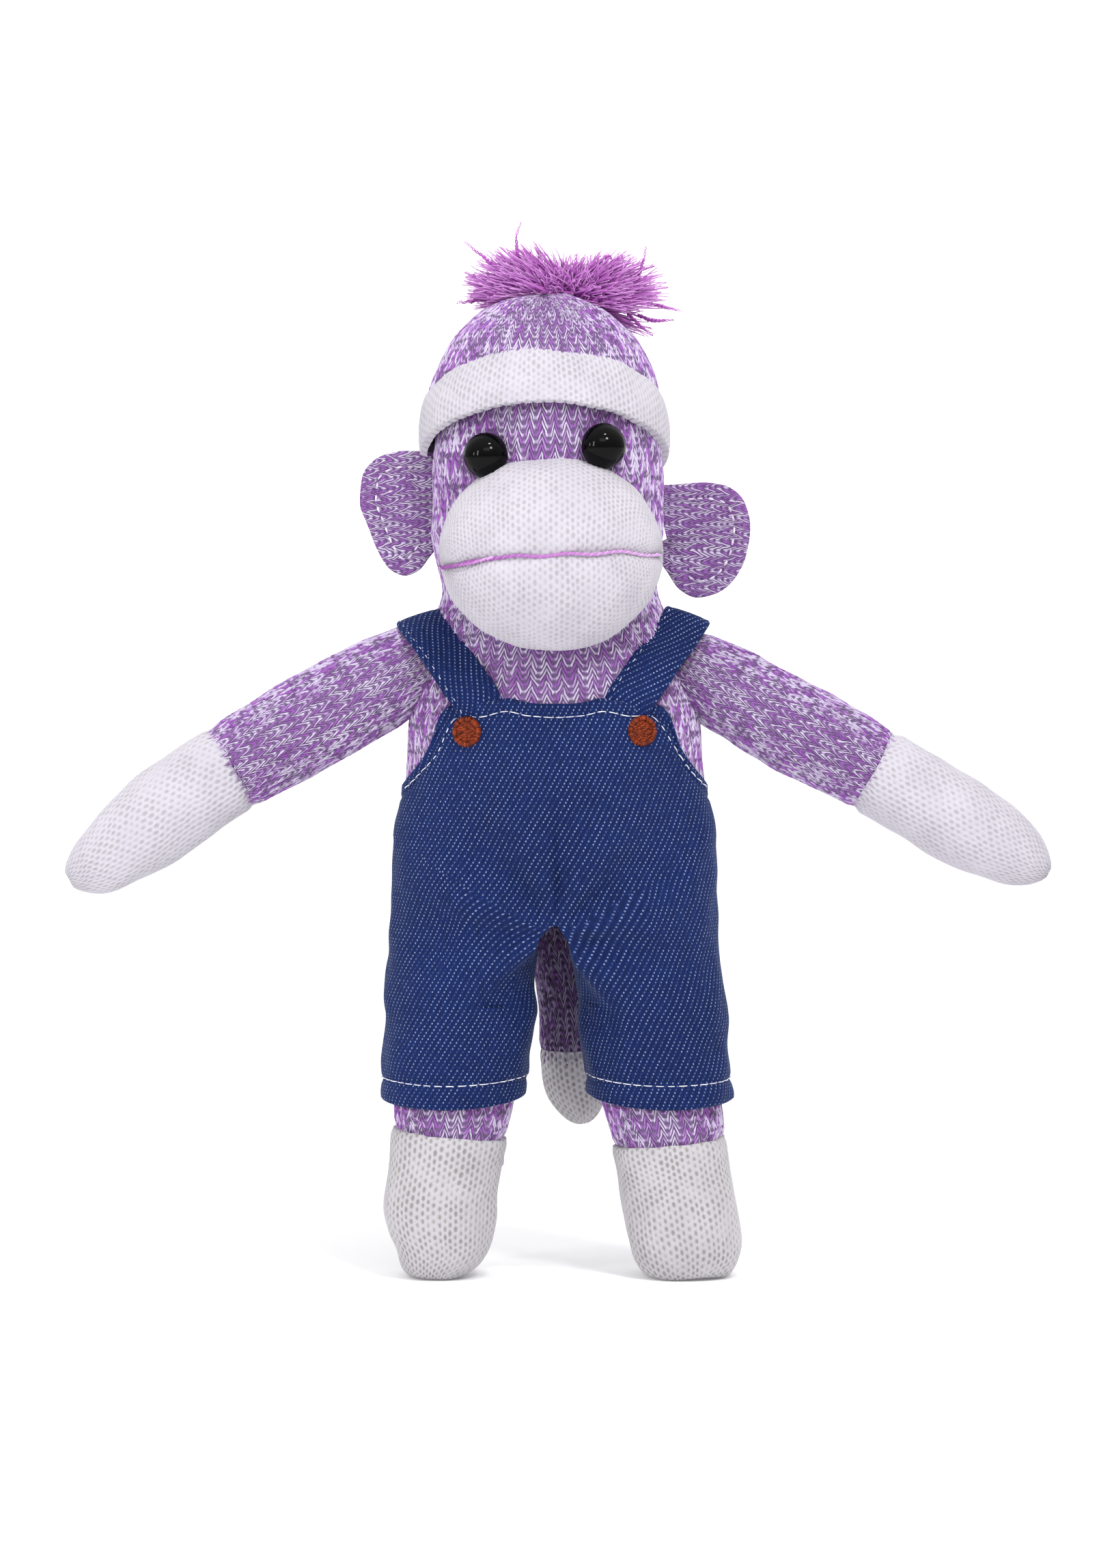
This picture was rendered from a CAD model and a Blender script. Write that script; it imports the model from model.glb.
import math

import bpy
import numpy as np
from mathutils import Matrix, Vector


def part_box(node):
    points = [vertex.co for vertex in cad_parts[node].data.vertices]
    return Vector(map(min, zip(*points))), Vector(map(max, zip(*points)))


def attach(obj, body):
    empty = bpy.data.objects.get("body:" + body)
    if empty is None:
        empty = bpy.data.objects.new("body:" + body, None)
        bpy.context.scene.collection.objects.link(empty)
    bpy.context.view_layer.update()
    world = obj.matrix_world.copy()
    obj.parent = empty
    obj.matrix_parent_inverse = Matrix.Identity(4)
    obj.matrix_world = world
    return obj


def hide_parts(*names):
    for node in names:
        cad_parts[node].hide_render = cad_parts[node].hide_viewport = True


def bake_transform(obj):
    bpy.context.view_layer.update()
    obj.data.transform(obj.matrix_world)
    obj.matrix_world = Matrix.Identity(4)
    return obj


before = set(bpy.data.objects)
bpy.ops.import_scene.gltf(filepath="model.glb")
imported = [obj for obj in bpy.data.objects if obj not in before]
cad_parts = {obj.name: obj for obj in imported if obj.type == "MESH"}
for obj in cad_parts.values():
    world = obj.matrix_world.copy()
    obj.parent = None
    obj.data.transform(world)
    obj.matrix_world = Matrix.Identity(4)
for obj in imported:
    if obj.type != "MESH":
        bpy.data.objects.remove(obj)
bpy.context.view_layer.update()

MM = 0.001
SIDES = (("left", -1), ("right", 1))


# ---------------------------------------------------------------- numbers over arrays
def ease(low, high, x):
    t = np.clip((x - low) / (high - low), 0.0, 1.0)
    return t * t * (3 - 2 * t)


def through(rows):
    """Smooth functions of the rows' first column through each of the others, with no overshoot."""
    table = np.array(rows, float)
    xs = table[:, 0]
    step = np.diff(xs)

    def curve(ys):
        rise = np.diff(ys) / step
        slope = np.zeros_like(ys)
        turning = rise[:-1] * rise[1:] <= 0
        total = np.where(turning, 1.0, rise[:-1] + rise[1:])
        slope[1:-1] = np.where(turning, 0.0, 2 * rise[:-1] * rise[1:] / total)
        slope[0], slope[-1] = rise[0], rise[-1]

        def at(x):
            x = np.clip(np.asarray(x, float), xs[0], xs[-1])
            i = np.clip(np.searchsorted(xs, x, side="right") - 1, 0, len(step) - 1)
            h = step[i]
            t = (x - xs[i]) / h
            start = (1 + 2 * t) * (1 - t) ** 2 * ys[i] + t * (1 - t) ** 2 * h * slope[i]
            return start + t * t * (3 - 2 * t) * ys[i + 1] + t * t * (t - 1) * h * slope[i + 1]

        return at

    return [curve(table[:, k]) for k in range(1, table.shape[1])]


def wobble(points, size, seed, waves=8):
    """Smooth made-up unevenness, about -1 to 1, with features of that size."""
    rng = np.random.default_rng(seed)
    lines = rng.normal(size=(waves, 3))
    lines /= np.linalg.norm(lines, axis=1)[:, None]
    lines *= (2 * math.pi / size * rng.uniform(0.6, 1.5, waves))[:, None]
    return np.sin(points @ lines.T + rng.uniform(0, 6.28, waves)).sum(-1) / math.sqrt(waves)


def hill(x, at, width):
    """A smooth bump of height 1 at a place."""
    return np.exp(-((x - at) / width) ** 2)


def squarish(angle, power):
    """How much further out than a circle a shape with full corners reaches."""
    return 1 / (np.abs(np.cos(angle)) ** power + np.abs(np.sin(angle)) ** power) ** (1 / power)


def unit(v):
    return v / np.maximum(np.linalg.norm(v, axis=-1, keepdims=True), 1e-9)


def stack(x, y, z):
    return np.stack(np.broadcast_arrays(x, y, z), -1).astype(float)


def distances(points):
    """How far each point is along the line through them."""
    return np.concatenate([[0], np.cumsum(np.linalg.norm(np.diff(points, axis=0), axis=1))])


def straight_between(places, length, values):
    return np.stack([np.interp(places, length, values[:, k]) for k in range(3)], -1)


def even(points, count):
    """Evenly spaced points along straight lines through the given ones."""
    length = distances(points)
    return straight_between(np.linspace(0, length[-1], count), length, points)


def resample(points, count):
    """Evenly spaced points along a smooth line through the given ones."""
    points = np.asarray(points, float)
    length = distances(points)
    places = np.linspace(0, length[-1], count)
    return np.stack([f(places) for f in through(np.column_stack([length, points]))], -1)


# ---------------------------------------------------------------- meshes
def mesh_object(name, points, faces, uvs, material):
    """points in mm; uvs is one pair per face corner, in the order of the faces."""
    mesh = bpy.data.meshes.new(name)
    mesh.from_pydata((np.asarray(points) * MM).tolist(), [], [tuple(f) for f in faces])
    layer = mesh.uv_layers.new(name="weave")
    layer.data.foreach_set("uv", np.asarray(uvs, np.float32).ravel())
    mesh.shade_smooth()
    mesh.materials.append(material)
    piece = bpy.data.objects.new(name, mesh)
    bpy.context.scene.collection.objects.link(piece)
    return piece


def grid_object(name, points, uv, material, closed=True, caps=(False, False)):
    """A sheet or tube from points. Rows run up and columns run anticlockwise, seen from outside."""
    rows, cols = points.shape[:2]
    index = np.arange(rows * cols).reshape(rows, cols)
    spans = cols if closed else cols - 1
    left = index[:, :spans]
    right = np.roll(index, -1, 1)[:, :spans]
    quads = np.stack([left[:-1], right[:-1], right[1:], left[1:]], -1).reshape(-1, 4)
    corners = [uv[:-1, :spans], uv[:-1, 1:spans + 1], uv[1:, 1:spans + 1], uv[1:, :spans]]
    uvs = np.stack(corners, -2).reshape(-1, 2)
    points = points.reshape(-1, 3)
    faces = quads.tolist()
    for end, wanted in enumerate(caps):
        if not wanted:
            continue
        row = index[-1 if end else 0]
        edge = uv[-1 if end else 0]
        middle = len(points)
        points = np.vstack([points, points[row].mean(0)])
        for k in range(spans):
            near, far = (k, (k + 1) % cols) if end else ((k + 1) % cols, k)
            faces.append([int(row[near]), int(row[far]), middle])
        near_uvs, far_uvs = (edge[:spans], edge[1:spans + 1]) if end else (edge[1:spans + 1], edge[:spans])
        fan = np.stack([near_uvs, far_uvs, (near_uvs + far_uvs) / 2], 1).reshape(-1, 2)
        uvs = np.vstack([uvs, fan])
    return mesh_object(name, points, faces, uvs, material)


LEG_REACH = 2 / 3    # share of half a wale taken by a stitch's leg; the rest is the rung between wales
SLANT = 2.4          # how steeply the legs rise, in courses for half a wale


def stocking_lean(u):
    """How far a stitch's legs rise from the middle of a wale to its sides, in courses."""
    a = np.abs(2 * (u - np.floor(u)) - 1)
    return SLANT * (np.minimum(a, LEG_REACH) - LEG_REACH / 2)


def stocking_height(u, p):
    """How far stocking stitch stands up: legs meeting mid-wale, and rungs between wales."""
    a = np.abs(2 * (u - np.floor(u)) - 1)
    strand = 0.5 + 0.5 * np.cos(2 * math.pi * (p - np.round(p)))
    leg = strand * ease(0.95, 0.6, a) * (0.72 + 0.28 * ease(0.0, 0.3, a))
    return np.maximum(leg, 0.35 * strand ** 2 * ease(0.5, 0.8, a))


def mesh_knit_height(u, v):
    """How far a fine plain knit stands up round its staggered holes."""
    column = np.round(u)
    row = v + 0.5 * (column % 2)
    hole = ((u - column) / 0.32) ** 2 + ((row - np.round(row)) / 0.36) ** 2
    return 1 - np.exp(-hole)


STOCKING, FINE = "stocking", "fine"


def knit(name, surface, wales, courses, style, material, height=0.5, closed=True, caps=(True, True),
         start=0.0, per_wale=None, per_course=None, dent=None):
    """A knitted piece. surface(u, v) gives points for wales u and courses v; stitches stand inside it."""
    stocking = style == STOCKING
    per_wale = per_wale or (6 if stocking else 4)
    per_course = per_course or (5 if stocking else 4)
    cols = int(round(wales * per_wale))
    rows = int(round(courses * per_course)) + 1
    u = np.arange(cols + 1) / per_wale
    p = start + np.arange(rows) / per_course
    u, p = np.meshgrid(u, p)
    v = p - stocking_lean(u) if stocking else p
    base = surface(u, v)
    across = surface(u + 0.2, v) - surface(u - 0.2, v)
    along = surface(u, v + 0.3) - surface(u, v - 0.3)
    out = unit(np.cross(across, along))
    soft = (0.12 * wobble(base, 6.0, 3)[..., None] * unit(across)
            + 0.14 * wobble(base, 7.0, 4)[..., None] * unit(along))
    rise = stocking_height(u, p) if stocking else mesh_knit_height(u, v)
    swell = 0.22 * wobble(base, 14.0, 5) - 0.22
    points = base + soft + out * (height * (rise - 1) + swell)[..., None]
    if dent is not None:
        points = dent(points, out)
    uv = np.stack([u, v], -1)
    if closed:
        points = points[:, :-1]
    return grid_object(name, points, uv, material, closed, caps if closed else (False, False))


def tube_frames(path, up=(0.0, 0.0, 1.0)):
    """Two directions across a path at each of its points."""
    forward = unit(np.gradient(path, axis=0))
    side = unit(np.cross(forward, np.broadcast_to(np.array(up, float), forward.shape)))
    return side, np.cross(side, forward)


def bundle_object(name, strands, material, sides=4, tip=0.4):
    """Many thin tubes in one mesh. Each strand is (points, radius, seed value)."""
    points, faces, uvs = [], [], []
    turn = np.arange(sides) * 2 * math.pi / sides
    base = 0
    for path, radius, value in strands:
        path = np.asarray(path, float)
        count = len(path)
        steps = np.linspace(0, 1, count)
        up = (0.31, 0.22, 0.92) if abs(unit(path[-1] - path[0])[2]) < 0.8 else (0.9, 0.3, 0.1)
        side, over = tube_frames(path, up)
        reach = radius * (1 - (1 - tip) * ease(0.45, 1.0, steps)) * ease(-0.06, 0.05, steps)
        ring = np.cos(turn)[:, None] * side[:, None] + np.sin(turn)[:, None] * over[:, None]
        points.append((path[:, None] + ring * reach[:, None, None]).reshape(-1, 3))
        index = base + np.arange(count * sides).reshape(count, sides)
        right = np.roll(index, -1, 1)
        quads = np.stack([index[:-1], index[1:], right[1:], right[:-1]], -1).reshape(-1, 4)
        faces += quads.tolist()
        low, high = steps[:-1], steps[1:]
        rows = np.stack([low, high, high, low], -1)
        quad_uv = np.stack([np.full_like(rows, value), rows], -1)
        uvs.append(np.repeat(quad_uv[:, None], sides, 1).reshape(-1, 2))
        faces += [list(index[0]), list(index[-1][::-1])]
        uvs.append(np.tile([[value, 0.0]], (sides, 1)))
        uvs.append(np.tile([[value, 1.0]], (sides, 1)))
        base += count * sides
    return mesh_object(name, np.vstack(points), faces, np.vstack(uvs), material)


def stitches(line, normals, stitch=2.6, gap=0.5, radius=0.26, sink=0.35, seed=1):
    """Separate running stitches along a line that lies on cloth, dipping in at both ends."""
    rng = np.random.default_rng(seed)
    length = distances(line)
    at = 0.3
    rows = []
    while at + stitch < length[-1]:
        size = stitch * rng.uniform(0.85, 1.12)
        places = at + np.linspace(0, size, 7)
        path = straight_between(places, length, line)
        out = unit(straight_between(places, length, normals))
        lift = np.array([-sink, 0.02, 0.16, 0.2, 0.16, 0.02, -sink])
        rows.append((path + out * lift[:, None], radius, rng.uniform()))
        at += size + gap * rng.uniform(0.7, 1.3)
    return rows


# ---------------------------------------------------------------- materials
def linear(r, g, b):
    """A colour written as 0..255 in the screen's scale, as the shader's linear numbers."""
    values = [c / 255 for c in (r, g, b)]
    return [c / 12.92 if c <= 0.04045 else ((c + 0.055) / 1.055) ** 2.4 for c in values] + [1.0]


class Number:
    """A shader value that adds, multiplies and so on by making Math nodes."""

    def __init__(self, tree, socket):
        self.tree = tree
        self.socket = socket

    def math(self, operation, *others):
        node = self.tree.nodes.new("ShaderNodeMath")
        node.operation = operation
        for slot, value in enumerate((self,) + others):
            if isinstance(value, Number):
                self.tree.links.new(value.socket, node.inputs[slot])
            else:
                node.inputs[slot].default_value = value
        return Number(self.tree, node.outputs[0])

    def __add__(self, other):
        return self.math("ADD", other)

    def __sub__(self, other):
        return self.math("SUBTRACT", other)

    def __mul__(self, other):
        return self.math("MULTIPLY", other)

    def floor(self):
        return self.math("FLOOR")

    def round(self):
        return self.math("ROUND")

    def fraction(self):
        return self.math("FRACT")

    def size(self):
        return self.math("ABSOLUTE")

    def cosine(self):
        return self.math("COSINE")

    def power(self, exponent):
        return self.math("POWER", exponent)

    def above(self, limit):
        return self.math("GREATER_THAN", limit)

    def remap(self, low, high, new_low=0.0, new_high=1.0):
        node = self.tree.nodes.new("ShaderNodeMapRange")
        node.interpolation_type = "SMOOTHSTEP"
        self.tree.links.new(self.socket, node.inputs[0])
        for slot, value in enumerate((low, high, new_low, new_high)):
            node.inputs[slot + 1].default_value = value
        return Number(self.tree, node.outputs[0])


class Finish:
    """One procedural material being put together."""

    def __init__(self, name, roughness=0.9, sheen=0.0, sheen_tint=(1, 1, 1, 1), specular=0.25):
        self.material = bpy.data.materials.new(name)
        self.material.use_nodes = True
        self.tree = self.material.node_tree
        self.shader = self.tree.nodes["Principled BSDF"]
        self.shader.inputs["Roughness"].default_value = roughness
        self.shader.inputs["Specular IOR Level"].default_value = specular
        if sheen:
            self.shader.inputs["Sheen Weight"].default_value = sheen
            self.shader.inputs["Sheen Roughness"].default_value = 0.5
            self.shader.inputs["Sheen Tint"].default_value = sheen_tint

    def uv(self):
        node = self.tree.nodes.new("ShaderNodeUVMap")
        node.uv_map = "weave"
        split = self.tree.nodes.new("ShaderNodeSeparateXYZ")
        self.tree.links.new(node.outputs[0], split.inputs[0])
        return Number(self.tree, split.outputs[0]), Number(self.tree, split.outputs[1])

    def place(self):
        node = self.tree.nodes.new("ShaderNodeTexCoord")
        return node.outputs["Object"]

    def vector(self, *parts):
        node = self.tree.nodes.new("ShaderNodeCombineXYZ")
        for slot, value in enumerate(parts):
            if isinstance(value, Number):
                self.tree.links.new(value.socket, node.inputs[slot])
            else:
                node.inputs[slot].default_value = value
        return node.outputs[0]

    def random(self, vector):
        node = self.tree.nodes.new("ShaderNodeTexWhiteNoise")
        node.noise_dimensions = "3D"
        self.tree.links.new(vector, node.inputs["Vector"])
        return Number(self.tree, node.outputs["Value"])

    def noise(self, vector, scale, detail=2.0, rough=0.5):
        node = self.tree.nodes.new("ShaderNodeTexNoise")
        node.inputs["Scale"].default_value = scale
        node.inputs["Detail"].default_value = detail
        node.inputs["Roughness"].default_value = rough
        self.tree.links.new(vector, node.inputs["Vector"])
        return Number(self.tree, node.outputs["Fac"])

    def blend(self, factor, first, second):
        node = self.tree.nodes.new("ShaderNodeMix")
        node.data_type = "RGBA"
        self.tree.links.new(factor.socket, node.inputs["Factor"])
        for name, colour in (("A", first), ("B", second)):
            socket = [s for s in node.inputs if s.name == name and s.type == "RGBA"][0]
            if isinstance(colour, bpy.types.NodeSocket):
                self.tree.links.new(colour, socket)
            else:
                socket.default_value = colour
        return [s for s in node.outputs if s.type == "RGBA"][0]

    def colour(self, socket):
        self.tree.links.new(socket, self.shader.inputs["Base Color"])

    def rough(self, number):
        self.tree.links.new(number.socket, self.shader.inputs["Roughness"])

    def bump(self, number, distance, strength=1.0):
        node = self.tree.nodes.new("ShaderNodeBump")
        node.inputs["Strength"].default_value = strength
        node.inputs["Distance"].default_value = distance
        self.tree.links.new(number.socket, node.inputs["Height"])
        self.tree.links.new(node.outputs[0], self.shader.inputs["Normal"])


def marl_knit(name, purple, white, gap, share=0.5, depth=1.0, ladder=1.0):
    """Stocking stitch in a yarn of two colours twisted together."""
    f = Finish(name, roughness=0.95, sheen=0.35, sheen_tint=linear(235, 225, 245), specular=0.15)
    u, v = f.uv()
    bend = f.noise(f.vector(u * 0.8, v * 0.55, 4.0), 1.0, 2.0)
    sway = f.noise(f.vector(u * 0.5, v * 0.8, 9.0), 1.0, 1.0)
    u = u + (sway - 0.5) * 0.3
    t = u.fraction()
    a = (t * 2.0 - 1.0).size()
    p = v + (bend - 0.5) * 0.6 + (a.math("MINIMUM", LEG_REACH) - LEG_REACH / 2) * SLANT
    course = p.round()
    q = p - course
    leg = u.floor() * 2.0 + t.above(0.5)
    lot = f.random(f.vector(leg, course, 3.7))
    cloud = f.noise(f.vector(leg * 0.23, course * 0.31, 1.3), 1.0, 2.0)
    streak = f.noise(f.vector(q * 4.6 + leg * 5.3, a * 1.6 + course * 7.7, 2.0), 1.0, 3.0, 0.6)
    ply = f.noise(f.vector((q + a * 0.55) * 2.6 + leg * 9.1, course * 4.3, 5.0), 1.0, 1.0)
    mix = lot * 0.34 + cloud * 0.2 + streak * 0.5 + ply * 0.4
    middle = 0.72 - 0.16 * (share - 0.5)
    light = mix.remap(middle - 0.09, middle + 0.09)
    strand = (q * 6.2832).cosine() * 0.5 + 0.5
    body = a.remap(1.0, 1.0 - 0.42 * ladder) * (a.remap(0.0, 0.22) * 0.35 + 0.65)
    rung = strand.power(2.5) * a.remap(0.5, 0.8) * 0.55
    cover = (strand.power(0.8) * body).remap(0.12, 0.66).math("MAXIMUM", rung)
    yarn = f.blend(light, purple, white)
    dark = f.blend(cover, gap, yarn)
    fuzz = f.noise(f.place(), 1900.0, 2.0)
    pale = f.blend(fuzz.remap(0.56, 0.8) * 0.28, dark, white)
    f.colour(pale)
    fibre = f.noise(f.vector(q * 9.0 + leg * 3.1, a * 2.2 + course * 5.1, 0.0), 1.0, 2.0)
    f.bump(cover * 0.8 + fibre * 0.35 + fuzz * 0.12, 0.00032 * depth, 0.9)
    return f.material


def fine_knit(name, white, shade, hole, depth=1.0, openness=0.46):
    """Fine white knitting with soft staggered holes."""
    f = Finish(name, roughness=0.95, sheen=0.3, specular=0.12)
    u, v = f.uv()
    column = u.round()
    odd = (column * 0.5).fraction() * 2.0
    row = v + odd * 0.5
    down = row - row.round()
    side = u - column
    rough_x = side * side * 8.0
    rough_y = down * down * 6.0
    lot = f.random(f.vector(column, row.round(), 1.1))
    gap = ((rough_x + rough_y) * -1.0).math("EXPONENT")
    patch = f.noise(f.place(), 130.0, 2.0)
    open_ = gap * (lot * 0.45 + 0.75) * patch.remap(0.3, 0.7, 0.75, 1.15)
    fuzz = f.noise(f.place(), 1500.0, 3.0, 0.6)
    tone = f.noise(f.place(), 90.0, 2.0)
    base = f.blend(tone.remap(0.35, 0.7) * 0.5, white, shade)
    base = f.blend(fuzz.remap(0.35, 0.75) * 0.35, base, shade)
    f.colour(f.blend(open_.remap(0.2, 0.95) * openness, base, hole))
    f.bump(open_ * -0.8 + fuzz * 0.3, 0.0003 * depth, 0.75)
    return f.material


TWILL_WIDE, TWILL_HIGH, TWILL_SLANT = 1.45, 0.76, 0.42    # the pale flecks' lattice, in mm


def denim_cloth(name):
    """Blue twill. UVs are millimetres; pale flecks stand on a slanting lattice."""
    f = Finish(name, roughness=0.88, sheen=0.12, sheen_tint=linear(150, 170, 220), specular=0.2)
    u, v = f.uv()
    bend = f.noise(f.place(), 60.0, 1.0)
    x = u + (bend - 0.5) * 0.7
    z = v + (bend - 0.5) * 0.4
    j = z * (-1 / TWILL_HIGH)
    i = (x + j * TWILL_SLANT) * (1 / TWILL_WIDE)
    ci = i.round()
    cj = j.round()
    dx = (i - ci) * TWILL_WIDE - (j - cj) * TWILL_SLANT
    dz = (j - cj) * TWILL_HIGH
    lot = f.random(f.vector(ci, cj, 0.5))
    line = f.random(f.vector(ci, (cj * 0.11).floor(), 2.5))
    near = (dx * dx) * 30.0 + (dz * dz) * 20.0
    dot = (near * -1.0).math("EXPONENT")
    hollow = (((dx - 0.25) * (dx - 0.25) + (dz - 0.3) * (dz - 0.3)) * -16.0).math("EXPONENT")
    fleck = dot.remap(0.25, 0.75) * lot.remap(-0.2, 0.8) * (line * 0.4 + 0.6)
    ridge = (i * 6.2832).cosine() * 0.5 + 0.5
    warp = f.noise(f.vector(x * 3.1, z * 0.22, 3.0), 1.0, 2.0)
    weft = f.noise(f.vector(x * 0.5, z * 3.5, 7.0), 1.0, 1.0)
    patch = f.noise(f.place(), 26.0, 3.0)
    tone = ridge * 0.2 + warp * 0.55 + weft * 0.16 + patch * 0.3
    base = f.blend(tone.remap(0.3, 0.95), linear(3, 18, 60), linear(17, 42, 103))
    base = f.blend(hollow * 0.75, base, linear(10, 20, 56))
    f.colour(f.blend(fleck * 0.68, base, linear(168, 184, 216)))
    f.bump(ridge * 0.5 + dot * 0.5 + warp * 0.5, 0.00022, 0.7)
    return f.material


def yarn_finish(name, dark, mid, pale, roughness=0.85, sheen=0.35):
    """Loose yarn: u is a strand's own number, v runs from its root to its tip."""
    f = Finish(name, roughness=roughness, sheen=sheen, sheen_tint=pale, specular=0.2)
    u, v = f.uv()
    lot = f.random(f.vector(u, 0.0, 0.0))
    grain = f.noise(f.vector(u * 40.0, v * 6.0, 0.0), 1.0, 2.0)
    body = f.blend((v + (lot - 0.5) * 0.5).remap(0.12, 0.62), dark, mid)
    tips = f.blend((v * 0.75 + lot * 0.4 + grain * 0.25).remap(0.78, 1.25), body, pale)
    f.colour(tips)
    f.bump(grain, 0.0001, 0.5)
    return f.material


def thread_finish(name, first, second, scale=900.0, roughness=0.6, sheen=0.1, specular=0.35):
    f = Finish(name, roughness=roughness, sheen=sheen, specular=specular)
    u, v = f.uv()
    lot = f.random(f.vector(u, 0.0, 0.0))
    grain = f.noise(f.place(), scale, 2.0)
    f.colour(f.blend((lot * 0.6 + grain * 0.6).remap(0.3, 0.95), first, second))
    f.bump(grain, 0.00008, 0.6)
    return f.material


def plastic_finish(name, colour, roughness, coat, specular=0.4, spread=0.05):
    f = Finish(name, roughness=roughness, specular=specular)
    f.shader.inputs["Coat Weight"].default_value = coat
    f.shader.inputs["Coat Roughness"].default_value = 0.03
    grain = f.noise(f.place(), 700.0, 2.0)
    f.colour(f.blend(grain.remap(0.3, 0.8), colour, [min(1.0, c * 1.35) for c in colour[:3]] + [1.0]))
    f.rough(grain.remap(0.3, 0.8, roughness, roughness + spread))
    return f.material


PURPLE = linear(158, 92, 184)
LILAC = linear(220, 208, 234)
GAP = linear(112, 88, 130)
PURPLE_KNIT = marl_knit("purple_marl", PURPLE, LILAC, GAP, 0.55)
ARM_KNIT = marl_knit("purple_marl_close", linear(150, 86, 176), linear(210, 198, 224), GAP,
                     0.56, ladder=0.6)
TAIL_KNIT = marl_knit("purple_marl_deep", linear(112, 66, 136), linear(168, 156, 184),
                      linear(70, 54, 84), 0.4)
EAR_KNIT = marl_knit("purple_marl_ear", linear(148, 88, 174), linear(208, 194, 222), linear(104, 76, 122),
                     0.45, ladder=0.5)
WHITE_KNIT = fine_knit("white_fine_knit", linear(197, 193, 202), linear(183, 178, 189),
                       linear(144, 137, 136))
FOOT_KNIT = fine_knit("white_fine_knit_foot", linear(190, 187, 192), linear(174, 170, 175),
                      linear(124, 119, 112), 1.0, 0.7)
DENIM = denim_cloth("blue_twill")
STITCH_THREAD = thread_finish("white_thread", linear(205, 205, 222), linear(240, 240, 248))
STITCH_SHADE = thread_finish("lilac_thread", linear(205, 190, 215), linear(235, 225, 242))
BUTTON_THREAD = thread_finish("orange_brown_thread", linear(70, 20, 4), linear(158, 62, 24),
                              1500.0, 0.5, 0.0, 0.25)
EYE_GLOSS = plastic_finish("black_gloss_plastic", linear(3, 3, 4), 0.015, 0.0, 0.12, 0.01)
WASHER_PLASTIC = plastic_finish("clear_white_plastic", linear(225, 225, 222), 0.4, 0.2)
POMPOM_YARN = yarn_finish("pompom_yarn", linear(134, 54, 142), linear(178, 98, 184), linear(218, 164, 222))
MOUTH_YARN = yarn_finish("mouth_yarn", linear(146, 78, 156), linear(184, 122, 190), linear(214, 178, 220))


def settle(piece, body, slot, *nodes):
    """A piece rides on a body, takes a slot and stands for CAD nodes."""
    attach(piece, body)
    return dress(piece, slot, *nodes)


def dress(piece, slot, *nodes):
    if nodes:
        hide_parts(*nodes)
    return piece


# ---------------------------------------------------------------- camera, light and floor
def paper(name, grain_scale, glow):
    finish = Finish(name, roughness=0.95, specular=0.1)
    grain = finish.noise(finish.place(), grain_scale, 3.0)
    finish.colour(finish.blend(grain, (0.93, 0.93, 0.935, 1.0), (0.95, 0.95, 0.955, 1.0)))
    finish.shader.inputs["Emission Color"].default_value = (1, 1, 1, 1)
    finish.shader.inputs["Emission Strength"].default_value = glow
    return finish.material


FLOOR_FRONT, FLOOR_BACK, FLOOR_HALF = -3.0, 2.6, 3.0      # metres, like the lights and the camera
CURVE, WALL_TOP = 0.5, 2.2


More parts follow.
